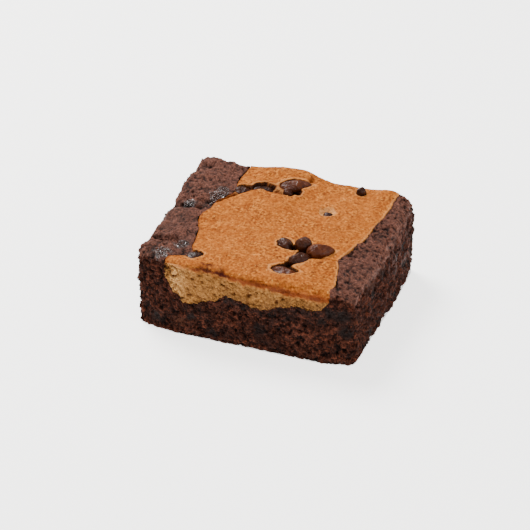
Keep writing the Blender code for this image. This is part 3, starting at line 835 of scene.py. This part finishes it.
def cookie_places(corner):
    """The cookie's corners carried to their places between its two edges, from its underside up to its top,
    with the edges rounded. Also how deep each point lies below its column's top."""
    i, j, k = corner.T
    y = (j / COOKIE_ROWS * 2 - 1) * HALF_Y
    left = cookie_edge(COOKIE_LEFT, y)
    right = cookie_edge(COOKIE_RIGHT, y)
    across = i / COOKIE_CELLS
    x = left + (right - left) * across
    top = cookie_top(x, y) + cookie_dents(x, y)
    under = cookie_under(across, y)
    z = under + (top - under) * k / COOKIE_LEVELS
    below = top - z
    lip = np.where(across < 0.5, LIP_LEFT, LIP_RIGHT)
    inset, z = round_edge(np.minimum(x - left, right - x), z, top, lip, lip)
    x = np.where(across < 0.5, left + inset, right - inset)
    y, z = round_ends(x, y, z, top)
    x, y = tear_sides(x, y, z, 0, (j == 0) | (j == COOKIE_ROWS))
    x, y = bow(x, y)
    return np.stack((x, y, z), -1), below


def pockets(place):
    """The chips' pockets: from above, each is its chip's own outline, the narrowing drop, made ragged by
    noise, and near ones run together. Returns the share of the depth, the painted shade on the wall next
    to the chip, and how near the rim is."""
    bent = frayed(place, 1.8, 0.45, 41)
    total = np.zeros(len(place))
    for (x, y), (length, width, _), turn, _, _, _ in CHIPS.values():
        angle = math.radians(turn)
        dx = bent[:, 0] - x
        dy = bent[:, 1] - y
        along = (dx * math.cos(angle) + dy * math.sin(angle)) / (length / 2 + POCKET_GAP)
        aside = -dx * math.sin(angle) + dy * math.cos(angle)
        narrow = np.clip(1 - CHIP_TAPER * along - CHIP_POINT * along**2, 0.2, 2)
        far = np.hypot(along, aside / (width / 2 * narrow + POCKET_GAP))
        total += np.exp(-POCKET_JOIN * far)
    for x, y, radius in HOLES:
        total += np.exp(-POCKET_JOIN * np.hypot(bent[:, 0] - x, bent[:, 1] - y) / radius)
    far = -np.log(np.maximum(total, 1e-12)) / POCKET_JOIN
    inside = soft(1.0, 0.86, far)
    # Painted shade, dark on the pocket's wall next to its chip.
    shade = soft(1.1, 0.98, far)
    rim = np.exp(-(((far - 1.2) / 0.12) ** 2))
    return inside, shade, rim * (1 - shade)


def browning_and_fold_shade(place, reach, below, front, on_top):
    """How brown the skin is: a band just above its end, at reach, on the front cut, weaker up to the top's
    edge, stronger to the right and broken up by noise, and painted shade at the bottom of the fold."""
    x, y, _ = place.T
    band = 1.4 * np.exp(-(((reach - below - 0.9) / 1.9) ** 2)) + 0.35 * soft(0.2, 1.4, below)
    band = band * front + 0.2 * soft(2.6, 0.4, y + HALF_Y) * on_top
    trail = soft(-0.4, 0.5, waves(place * STREAKS, 3.4, 64))
    band = band * (0.5 + 0.5 * trail) * (0.55 + 0.6 * soft(-20, 20, x))
    ahead = line(FOLD, x) - y
    # Painted shade in the groove behind the fold's rolled lip.
    fold_shade = soft(1.5, -0.5, ahead) * soft(-9, -2, ahead) * (1 - soft(*FOLD_END, x)) * on_top
    return np.clip(band + fold_shade, 0, 1)


def burnt_share(bent, y):
    """Burnt spots: soft ellipses on the front cut and a little way on to the top, each with its strength."""
    share = np.zeros(len(bent))
    for x, z, half_width, half_height, strength in BURNT:
        far = np.hypot((bent[:, 0] - x) / half_width, (bent[:, 2] - z) / half_height)
        share = np.maximum(share, strength * soft(1.3, 0.3, far) * (y < BURNT_REACH - HALF_Y))
    return share


def make_cookie(finish):
    """The cookie's net: baked skin with fine grain, pores and the chips' pockets, and open crumb at the cuts,
    blended by how baked it is. Returns the seats for its loose crumbs: places, ways out, how crowded."""
    corner, quads = skin((COOKIE_CELLS, COOKIE_ROWS, COOKIE_LEVELS), thin_cookie)
    place, below = cookie_places(corner)
    way = outward(place, quads)
    x, y, z = place.T
    i, j, k = corner.T
    across = i / COOKIE_CELLS
    lift = z - cookie_under(across, y)
    on_top = k == COOKIE_LEVELS
    end = ((j == 0) | (j == COOKIE_ROWS)) & ~on_top
    front = end & (y < 0)
    reach = np.where(y < 0, line(BAKED_DOWN, x), BAKED_BACK)
    ragged = rough(place, BAKED_RAGS)
    baked = np.where(end, 1 - soft(-0.9, 0.8, below - reach + ragged), soft(2.4, 1.0, below))
    large, number = crumb(place, *COOKIE_LARGE)
    small, _ = crumb(place, *COOKIE_SMALL)
    hole = soft(0.3, 0.6, waves(place * STREAKS, 1.5, 53))
    left_hole = soft(0.0, 0.3, waves(place, 1.7, 54)) * soft(-24, -30, x) * soft(22, 26, z)
    hole = np.maximum(hole, left_hole)
    cut_relief = 0.24 * large + 0.16 * small - 0.7 * hole - 0.25
    inside, shade, rim = pockets(place)
    rim = rim * on_top
    pore = pits(place, *COOKIE_PORES)
    gritty = np.where(front, 1.3, soft(6.0, 1.0, y + HALF_Y)) * (0.3 * large + 0.2 * small - 0.2)
    top_relief = rough(place, COOKIE_SAND) + gritty - 0.5 * pore
    top_relief = top_relief + POCKET_RIM * rim * (0.6 + 0.8 * waves(place, 1.1, 60))
    relief = (cut_relief * (1 - baked) + top_relief * baked) * (on_top | end)
    points = place + way * relief[:, None]
    points[:, 2] -= inside * POCKET_DEPTH * on_top
    points = keep_inside(points)
    pit_x, pit_y, radius, _ = PIT
    bent = frayed(place, 1.6, 0.9, 65)
    pit_wall = soft(1.35, 0.95, np.hypot(bent[:, 0] - pit_x, bent[:, 1] - pit_y) / radius)
    right_rim = soft(1.1, 0.2, cookie_edge(COOKIE_RIGHT, y) - x)
    pale_top = np.maximum(np.maximum(rim, 2.0 * pit_wall), 0.8 * right_rim)
    # Painted shade in the holes of the crumb, and in the pores of the skin.
    hollow = np.clip(0.9 - 0.55 * large - 0.4 * small + 0.9 * hole, 0, 1)
    marks = {
        "hollow": hollow * (1 - baked) + pore * baked,
        "baked": baked,
        "brown": browning_and_fold_shade(place, reach + 0.5 * ragged, below, front, on_top) * baked,
        # The rim mark is painted shade along the cookie's left edge, beside the crust.
        "rim": soft(1.5, 0.1, x - cookie_edge(COOKIE_LEFT, y)) * baked,
        "burnt": burnt_share(bent, y) * baked,
        "pale": np.where(end, soft(-22, -29, x), pale_top),
        "pocket": shade * on_top,
        "grain": number,
        "foot": soft(4.0, 0.6, lift) * soft(-24, 4, x) * end,
    }
    made = net("cookie_slab", points, quads, [finish], marks)
    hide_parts("cookie")
    seat = end & (baked < 0.3) & (k > 0)
    seam = soft(1.8, 0.4, lift) + soft(0.06, 0.02, across)
    return points[seat], way[seat], 1 + 4 * seam[seat]


def ball(rings, segments):
    """A ball's grid of rings, from pole to pole, and segments: each point's two ways across and its way
    along."""
    ring = np.linspace(0, np.pi, rings + 1)
    around = np.linspace(0, 2 * np.pi, segments, endpoint=False)
    ring, around = np.meshgrid(ring, around, indexing="ij")
    return np.sin(ring) * np.cos(around), np.sin(ring) * np.sin(around), np.cos(ring)


def chip_surface(name, salt):
    """A baking drop lying down: a ball narrowed from its round end to a point and pressed to its thickness,
    with soft facets and a little unevenness."""
    (x, y), (length, width, thickness), turn, tilt, rise, _ = CHIPS[name]
    one, other, along = ball(CHIP_RINGS, CHIP_SEGMENTS)
    narrow = 1 - CHIP_TAPER * along - CHIP_POINT * along**2
    shape = np.stack([along * length, one * narrow * width, other * narrow * thickness], -1).reshape(-1, 3)
    shape = shape / 2 * CHIP_SWELL
    pick = np.random.default_rng(salt)
    for lean in FACET_LEANS:
        flat = np.array([pick.uniform(-0.25, 0.25), lean + pick.uniform(-0.15, 0.15), 1.0])
        flat /= np.linalg.norm(flat)
        reach = FACET_REACH * np.linalg.norm(flat * np.array([length, width, thickness]) / 2)
        over = shape @ flat - reach
        shape -= flat * (np.logaddexp(0, over * FACET_SHARP) / FACET_SHARP * FACET_CUT)[:, None]
    height, size = CHIP_UNEVEN
    shape += height * np.stack([waves(shape, size, salt * 4 + n) for n in range(3)], -1)
    turned = Matrix.Rotation(math.radians(turn), 3, "Z") @ Matrix.Rotation(math.radians(tilt), 3, "Y")
    middle = float(cookie_top(np.array([x]), np.array([y]))[0]) + rise - thickness / 2
    return shape @ np.array(turned).T + np.array([x, y, middle])


def closed_grid(rings, segments):
    """Quads over a grid of rings and segments that runs round once. The first and the last ring are poles:
    all their points are one."""
    row = np.arange(rings)[:, None]
    column = np.arange(segments)[None, :]
    after = (column + 1) % segments
    last = 1 + (rings - 1) * segments

    def at(r, c):
        """The number of a point, with the two poles first and last."""
        return np.where(r == 0, 0, np.where(r == rings, last, 1 + (r - 1) * segments + c))

    quads = np.stack([at(row, column), at(row + 1, column), at(row + 1, after), at(row, after)], -1)
    return quads.reshape(-1, 4)


def one_pole(points, rings, segments):
    """Keeps one point of each pole of such a grid."""
    grid = points.reshape(rings + 1, segments, 3)
    return np.concatenate([grid[0, :1], grid[1:-1].reshape(-1, 3), grid[-1, :1]])


def make_chips(finish):
    """Each chip is its own piece in its pocket."""
    quads = closed_grid(CHIP_RINGS, CHIP_SEGMENTS)
    for salt, name in enumerate(CHIPS):
        points = one_pole(chip_surface(name, salt + 70), CHIP_RINGS, CHIP_SEGMENTS)
        marks = {"tone": np.full(len(points), CHIPS[name][5])}
        made = net(name + "_chocolate", keep_inside(points), quads, [finish], marks)
        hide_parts(name)


def make_crumbs(name, seats, ways, crowd, kind, finish, marks):
    """Loose crumbs stuck to a cut, all one mesh: each is a small ball, its points pushed in and out at
    random, stretched and turned, with its middle at a random seat, more often where crowd is high. A mark is
    one value, one for each seat, or a range (low, high) to draw each crumb's own value from."""
    count, sizes, seed = kind
    draw = np.random.default_rng(seed)
    pick = draw.choice(len(seats), count, replace=False, p=crowd / crowd.sum())
    size = draw.uniform(*sizes, (count, 1, 1)) * draw.uniform(0.7, 1.15, (count, 1, 1))
    grain = one_pole(np.stack(ball(CRUMB_RINGS, CRUMB_SEGMENTS), -1), CRUMB_RINGS, CRUMB_SEGMENTS)
    shape = grain[None] * draw.uniform(0.72, 1.2, (count, len(grain), 1))
    shape = shape * draw.uniform(0.65, 1.25, (count, 1, 3)) * size
    turn = np.linalg.qr(draw.normal(size=(count, 3, 3)))[0]
    turn *= np.sign(np.linalg.det(turn))[:, None, None]
    shape = np.einsum("nij,npj->npi", turn, shape)
    middle = seats[pick] - ways[pick] * CRUMB_SINK
    points = keep_inside((shape + middle[:, None]).reshape(-1, 3))
    first = np.arange(count)[:, None, None] * len(grain)
    quads = (closed_grid(CRUMB_RINGS, CRUMB_SEGMENTS)[None] + first).reshape(-1, 4)
    each = {"grain": draw.random(count)}
    for key, value in marks.items():
        if isinstance(value, tuple):
            each[key] = draw.uniform(*value, count)
        else:
            each[key] = value[pick] if np.ndim(value) else np.full(count, value)
    each = {key: np.repeat(value, len(grain)) for key, value in each.items()}
    made = net(name, points, quads, [finish], each)


def add(tree, kind, inputs, **settings):
    """One shader node with its settings and its inputs, each a value or another node's output."""
    made = tree.nodes.new(kind)
    for key, value in settings.items():
        setattr(made, key, value)
    for key, value in inputs.items():
        if isinstance(value, bpy.types.NodeSocket):
            tree.links.new(value, made.inputs[key])
        else:
            made.inputs[key].default_value = value
    return made


def mark(tree, name):
    """A number kept at the mesh's points."""
    return add(tree, "ShaderNodeAttribute", {}, attribute_name=name).outputs["Fac"]


def blend(tree, share, low, high):
    """Two colours mixed by a share."""
    low = (*low, 1) if isinstance(low, tuple) else low
    high = (*high, 1) if isinstance(high, tuple) else high
    return add(tree, "ShaderNodeMix", {0: share, 6: low, 7: high}, data_type="RGBA").outputs[2]


def sums(tree, kind, a, b):
    """Two numbers put together by one sum."""
    return add(tree, "ShaderNodeMath", {0: a, 1: b}, operation=kind).outputs[0]


def ranged(tree, value, start, stop):
    """A number from 0 to 1 stretched so that it runs from start to stop."""
    made = add(tree, "ShaderNodeMapRange", {"Value": value, "To Min": start, "To Max": stop})
    return made.outputs["Result"]


def speckle(tree, size, detail=2.0, low=0.35, high=0.65):
    """Noise on Object coordinates with features of a size in millimetres, stretched from 0 to 1."""
    place = add(tree, "ShaderNodeTexCoord", {}).outputs["Object"]
    made = add(tree, "ShaderNodeTexNoise", {"Vector": place, "Scale": 1 / (size * MM), "Detail": detail})
    limits = {"Value": made.outputs["Fac"], "From Min": low, "From Max": high}
    return add(tree, "ShaderNodeMapRange", limits).outputs["Result"]


def laid(tree, layers):
    """Colours laid over one another: the first one, then layers, each (share, strength, colour)."""
    colour = layers[0]
    for kind, strength, over in layers[1:]:
        share = mark(tree, kind) if isinstance(kind, str) else speckle(tree, *kind)
        colour = blend(tree, sums(tree, "MULTIPLY", share, strength), colour, over)
    return colour


def surface(tree, colour, roughness, bump, depth, gloss):
    """Ends a finish in its Principled BSDF: colour, roughness, a bump of a depth in millimetres, and
    gloss."""
    relief = add(tree, "ShaderNodeBump", {"Height": bump, "Strength": 1.0, "Distance": depth * MM}).outputs[0]
    shader = tree.nodes["Principled BSDF"]
    tree.links.new(colour, shader.inputs["Base Color"])
    tree.links.new(roughness, shader.inputs["Roughness"])
    tree.links.new(relief, shader.inputs["Normal"])
    shader.inputs["Specular IOR Level"].default_value = gloss


def new_finish(name):
    """A new material with its shader nodes, and their tree."""
    made = bpy.data.materials.new(name)
    made.use_nodes = True
    return made, made.node_tree


def brownie_finish(name, gloss, bump_size, bump_depth):
    """Chocolate crumb, red brown at its tips and near black with painted shade in its holes, with smooth
    patches of painted sheen on the right cut, under a dusky purple-brown crust with shiny patches and
    painted shade in its hollows. The crumb and the crust differ in their gloss."""
    made, tree = new_finish(name)
    fudge = mark(tree, "fudge")
    shine = mark(tree, "shine")
    colour = blend(tree, mark(tree, "crust"), laid(tree, CRUMB_COLOURS), laid(tree, CRUST_COLOURS))
    wet = sums(tree, "ADD", sums(tree, "MULTIPLY", shine, 0.6), sums(tree, "MULTIPLY", fudge, 0.1))
    roughness = sums(tree, "SUBTRACT", 0.7, wet)
    surface(tree, colour, roughness, speckle(tree, bump_size, 3.0), bump_depth, gloss)
    return made


def cookie_finish():
    """Golden baked skin, sandy and mottled, with painted glints, browner along the front edge, over pale
    crumb. Painted shade darkens the fold, the pores, the chips' pockets, the crumb's holes and the left
    edge.
    """
    made, tree = new_finish("cookie crumb and crust")
    colour = blend(tree, mark(tree, "baked"), laid(tree, DOUGH_COLOURS), laid(tree, SKIN_COLOURS))
    roughness = ranged(tree, speckle(tree, *SKIN_MOTTLE), 0.55, 0.75)
    surface(tree, colour, roughness, speckle(tree, 0.5, 3.0), 0.25, COOKIE_GLOSS)
    return made


def chocolate_finish():
    """Dark chocolate with a satin gloss and faint paler smears, milder where its tone is lighter."""
    made, tree = new_finish("dark chocolate")
    colour = blend(tree, mark(tree, "tone"), laid(tree, DARK_CHOCOLATE), laid(tree, MILD_CHOCOLATE))
    roughness = ranged(tree, speckle(tree, 0.9, 3.0), 0.24, 0.42)
    surface(tree, colour, roughness, speckle(tree, 2.2, 4.0), 0.35, CHOCOLATE_GLOSS)
    return made


def floor_finish():
    """A plain pale matt floor with a glow of its own."""
    made, tree = new_finish("pale floor")
    shader = tree.nodes["Principled BSDF"]
    shader.inputs["Base Color"].default_value = FLOOR_COLOUR
    shader.inputs["Roughness"].default_value = FLOOR_ROUGHNESS
    shader.inputs["Emission Color"].default_value = GLOW_COLOUR
    shader.inputs["Emission Strength"].default_value = FLOOR_GLOW
    return made


def make_floor():
    """One flat square under the food."""
    size = FLOOR_HALF
    corners = [(-size, -size, 0), (size, -size, 0), (size, size, 0), (-size, size, 0)]
    mesh = bpy.data.meshes.new("floor")
    mesh.from_pydata(corners, [], [(0, 1, 2, 3)])
    mesh.materials.append(floor_finish())
    made = bpy.data.objects.new("floor", mesh)
    bpy.context.scene.collection.objects.link(made)


def make_lights():
    """Soft studio light: a pale sky all round and two large soft lamps that face the food."""
    world = bpy.data.worlds.new("studio")
    world.use_nodes = True
    sky = world.node_tree.nodes["Background"].inputs
    sky["Color"].default_value = SKY_COLOUR
    sky["Strength"].default_value = SKY
    bpy.context.scene.world = world
    for name, (place, size, power) in LIGHTS.items():
        lamp = bpy.data.lights.new(name, "AREA")
        lamp.shape = "DISK"
        lamp.size = size
        lamp.energy = power
        made = bpy.data.objects.new(name, lamp)
        made.location = place
        made.rotation_euler = (-Vector(place)).to_track_quat("-Z", "Y").to_euler()
        bpy.context.scene.collection.objects.link(made)


def make_camera():
    """Looks down at the food from the front right, set aside so that it lies where the photograph has it."""
    turn = math.radians(CAMERA_TURN)
    rise = math.radians(CAMERA_RISE)
    back = Vector((math.sin(turn) * math.cos(rise), -math.cos(turn) * math.cos(rise), math.sin(rise)))
    right = Vector((math.cos(turn), math.sin(turn), 0))
    up = back.cross(right)
    aside = (right * -OFF_RIGHT + up * -OFF_UP) * CAMERA_FAR / FOCAL
    lens = bpy.data.cameras.new("camera")
    lens.sensor_width = SENSOR
    lens.lens = FOCAL / PICTURE * SENSOR
    lens.clip_start = 0.01
    made = bpy.data.objects.new("camera", lens)
    turned = Matrix((right, up, back)).transposed().to_4x4()
    made.matrix_world = Matrix.Translation(CAMERA_AIM + back * CAMERA_FAR + aside) @ turned
    bpy.context.scene.collection.objects.link(made)
    bpy.context.scene.camera = made


def main():
    """Makes the food, the floor, the lights and the camera."""
    looks = [brownie_finish(name, *values) for name, values in BROWNIE_FINISHES.items()]
    cookie_look = cookie_finish()
    seats, ways, crowd, fudge, crust = make_brownie(looks)
    make_crumbs(
        "brownie_crumbs", seats, ways, crowd, BROWNIE_CRUMBS, looks[0],
        {"hollow": (0.0, 0.5), "crust": crust, "smear_and_sheen": 0.0, "shine": 0.0, "fudge": fudge * 0.8},
    )
    seats, ways, crowd = make_cookie(cookie_look)
    plain = dict.fromkeys(("baked", "brown", "burnt", "pale", "pocket", "foot", "rim"), 0.0)
    make_crumbs(
        "cookie_crumbs", seats, ways, crowd, COOKIE_CRUMBS, cookie_look,
        {"hollow": (0.0, 0.3), **plain},
    )
    make_chips(chocolate_finish())
    make_floor()
    make_lights()
    make_camera()


main()
